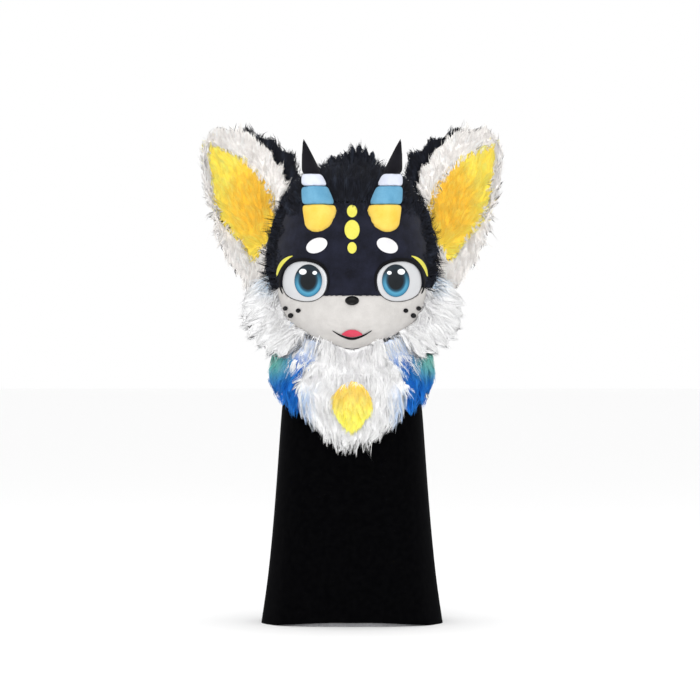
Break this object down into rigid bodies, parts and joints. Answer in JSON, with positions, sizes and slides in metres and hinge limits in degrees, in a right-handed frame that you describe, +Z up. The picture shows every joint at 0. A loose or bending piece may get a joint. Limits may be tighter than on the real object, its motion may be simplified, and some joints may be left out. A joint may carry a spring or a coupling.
{
  "type": "fursuit head with fur bib on a cloth-covered display form",
  "caption": "Hollow horned animal costume head with large furry ears, cheek ruffs and a fur bib, standing on a limbless display form under a plain black cloth cover.",
  "frame": {"origin": "middle of the display form's flat underside, on the surface that it stands on", "axes": "+Z up; the face looks along -Y; the wearer's left is +X"},
  "size_m": [0.5156, 0.2932, 0.8402],
  "materials": {
    "white_plush": "short white plush",
    "night_plush": "short blue-black plush",
    "black_plush": "short black plush",
    "lemon_plush": "short lemon-yellow plush",
    "white_fur": "long white pile",
    "night_fur": "long blue-black pile",
    "yellow_fur": "long yellow pile",
    "blue_fur": "long royal-blue pile with teal tips",
    "yellow_minky": "smooth short pile",
    "blue_minky": "smooth short pile",
    "white_minky": "smooth short pile",
    "black_minky": "smooth short pile",
    "eye_plastic": "glossy white",
    "iris_plastic": "glossy blue with a dark middle",
    "nose_plastic": "satin black",
    "tongue_felt": "rose-red felt",
    "black_velvet": "matt black cloth",
    "form_board": "smooth grey"
  },
  "bodies": {
    "root": {"face_lower": "white_plush", "brow_spot_left": "white_plush", "brow_spot_right": "white_plush", "face_mask": "night_plush", "freckle_outer_left": "black_plush", "freckle_outer_right": "black_plush", "freckle_middle_left": "black_plush", "freckle_middle_right": "black_plush", "freckle_inner_left": "black_plush", "freckle_inner_right": "black_plush", "lash_line_left": "black_plush", "lash_line_right": "black_plush", "lip_line": "black_plush", "forehead_oval_low": "lemon_plush", "forehead_oval_mid": "lemon_plush", "forehead_oval_top": "lemon_plush", "temple_arc_left": "lemon_plush", "temple_arc_right": "lemon_plush", "bib_front": "white_fur", "ear_rim_left": "white_fur", "ear_rim_right": "white_fur", "cheek_ruff_left": "white_fur", "cheek_ruff_right": "white_fur", "crown_fur": "night_fur", "crown_tuft": "night_fur", "head_back": "night_fur", "ear_back_left": "night_fur", "ear_back_right": "night_fur", "ear_lining_left": "yellow_fur", "ear_lining_right": "yellow_fur", "chest_patch": "yellow_fur", "bib_side_left": "blue_fur", "bib_side_right": "blue_fur", "bib_back": "blue_fur", "horn_base_left": "yellow_minky", "horn_base_right": "yellow_minky", "horn_middle_left": "blue_minky", "horn_middle_right": "blue_minky", "horn_collar_left": "white_minky", "horn_collar_right": "white_minky", "horn_tip_left": "black_minky", "horn_tip_right": "black_minky", "eye_white_left": "eye_plastic", "eye_white_right": "eye_plastic", "eye_iris_left": "iris_plastic", "eye_iris_right": "iris_plastic", "nose": "nose_plastic", "tongue": "tongue_felt", "cover_front": "black_velvet", "cover_back": "black_velvet", "display_form": "form_board", "neck_post": "form_board", "head_rest": "form_board"}
  },
  "joints": []
}
